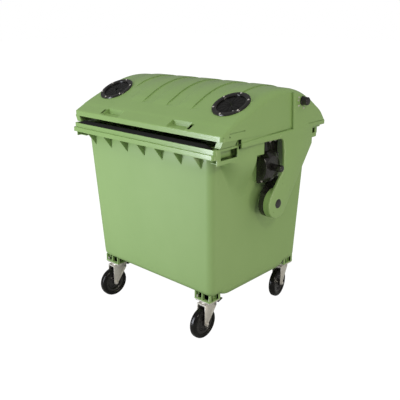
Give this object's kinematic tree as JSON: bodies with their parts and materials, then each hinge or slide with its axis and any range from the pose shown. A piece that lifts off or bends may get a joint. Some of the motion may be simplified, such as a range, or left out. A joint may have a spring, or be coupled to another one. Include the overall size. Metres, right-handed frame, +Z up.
{
  "type": "four-wheeled refuse container",
  "caption": "Large plastic refuse container on swivel casters with a roll-back dome lid, rosette inlets, lifting trunnions and a comb rim.",
  "frame": {"origin": "on the floor, under the centre of the box around the container", "axes": "+X to the container's left-to-right with the right trunnion at +X, front faces -Y, +Z up"},
  "size_m": [1.37, 1.012, 1.473],
  "materials": {
    "green_plastic": "moulded polyethylene with a fine grain",
    "black_plastic": "moulded, satin",
    "black_rubber": "smooth rubber",
    "black_paint": "black coat",
    "tyre": "solid rubber",
    "zinc": "zinc plated sheet steel",
    "steel": "turned"
  },
  "bodies": {
    "body": {"tub": "green_plastic", "front_seal": "black_rubber", "side_bracket_left": "black_plastic", "side_bracket_right": "black_plastic", "trunnion_left": "black_paint", "trunnion_right": "black_paint", "bracket_bolts": "zinc", "lid_pivot_left": "steel", "lid_pivot_right": "steel", "drain_seal": "black_rubber", "caster_bolts": "zinc", "caster_plate_front_left": "zinc", "caster_plate_front_right": "zinc", "caster_plate_rear_left": "zinc", "caster_plate_rear_right": "zinc", "caster_kingpin_front_left": "steel", "caster_kingpin_front_right": "steel", "caster_kingpin_rear_left": "steel", "caster_kingpin_rear_right": "steel"},
    "lid": {"lid": "green_plastic", "pivot_bush_left": "black_plastic", "pivot_bush_right": "black_plastic", "pivot_cap_left": "black_plastic", "pivot_cap_right": "black_plastic", "lid_pin_left": "black_plastic", "lid_pin_right": "black_plastic", "lid_pin_screws": "zinc", "rosette_ring_left": "black_plastic", "rosette_ring_right": "black_plastic", "rosette_membrane_left": "black_rubber", "rosette_membrane_right": "black_rubber", "rosette_screws": "zinc"},
    "drain": {"drain_plug": "black_plastic"},
    "caster_front_left": {"caster_fork_front_left": "zinc", "wheel_axle_front_left": "zinc", "brake_pin_front_left": "steel"},
    "wheel_front_left": {"wheel_rim_front_left": "black_plastic", "wheel_tyre_front_left": "tyre"},
    "brake_front_left": {"brake_pedal_front_left": "black_plastic"},
    "caster_front_right": {"caster_fork_front_right": "zinc", "wheel_axle_front_right": "zinc", "brake_pin_front_right": "steel"},
    "wheel_front_right": {"wheel_rim_front_right": "black_plastic", "wheel_tyre_front_right": "tyre"},
    "brake_front_right": {"brake_pedal_front_right": "black_plastic"},
    "caster_rear_left": {"caster_fork_rear_left": "zinc", "wheel_axle_rear_left": "zinc"},
    "wheel_rear_left": {"wheel_rim_rear_left": "black_plastic", "wheel_tyre_rear_left": "tyre"},
    "caster_rear_right": {"caster_fork_rear_right": "zinc", "wheel_axle_rear_right": "zinc"},
    "wheel_rear_right": {"wheel_rim_rear_right": "black_plastic", "wheel_tyre_rear_right": "tyre"}
  },
  "joints": [
    {"name": "lid_roll_back", "type": "hinge", "parent": "body", "child": "lid", "pos_m": [0, 0.025, 0.796], "axis": [-1, 0, 0], "range_deg": [0, 75]},
    {"name": "drain_plug_pull", "type": "slide", "parent": "body", "child": "drain", "axis": [0, 0, -1], "range_m": [0, 0.04]},
    {"name": "swivel_front_left", "type": "hinge", "parent": "body", "child": "caster_front_left", "pos_m": [-0.417, -0.345, 0.22], "axis": [0, 0, 1], "continuous": true},
    {"name": "roll_front_left", "type": "hinge", "parent": "caster_front_left", "child": "wheel_front_left", "pos_m": [-0.42014, -0.38989, 0.098], "axis": [0.9976, -0.0698, 0], "continuous": true},
    {"name": "brake_front_left", "type": "hinge", "parent": "caster_front_left", "child": "brake_front_left", "pos_m": [-0.41463, -0.31108, 0.1996], "axis": [-0.9976, 0.0698, 0], "range_deg": [0, 15]},
    {"name": "swivel_front_right", "type": "hinge", "parent": "body", "child": "caster_front_right", "pos_m": [0.417, -0.345, 0.22], "axis": [0, 0, 1], "continuous": true},
    {"name": "roll_front_right", "type": "hinge", "parent": "caster_front_right", "child": "wheel_front_right", "pos_m": [0.41779, -0.38999, 0.098], "axis": [0.9998, 0.0175, 0], "continuous": true},
    {"name": "brake_front_right", "type": "hinge", "parent": "caster_front_right", "child": "brake_front_right", "pos_m": [0.41641, -0.311, 0.1996], "axis": [-0.9998, -0.0175, 0], "range_deg": [0, 15]},
    {"name": "swivel_rear_left", "type": "hinge", "parent": "body", "child": "caster_rear_left", "pos_m": [-0.417, 0.404, 0.22], "axis": [0, 0, 1], "continuous": true},
    {"name": "roll_rear_left", "type": "hinge", "parent": "caster_rear_left", "child": "wheel_rear_left", "pos_m": [-0.417, 0.359, 0.098], "axis": [1, 0, 0], "continuous": true},
    {"name": "swivel_rear_right", "type": "hinge", "parent": "body", "child": "caster_rear_right", "pos_m": [0.417, 0.404, 0.22], "axis": [0, 0, 1], "continuous": true},
    {"name": "roll_rear_right", "type": "hinge", "parent": "caster_rear_right", "child": "wheel_rear_right", "pos_m": [0.42559, 0.35983, 0.098], "axis": [0.9816, 0.1908, 0], "continuous": true}
  ]
}
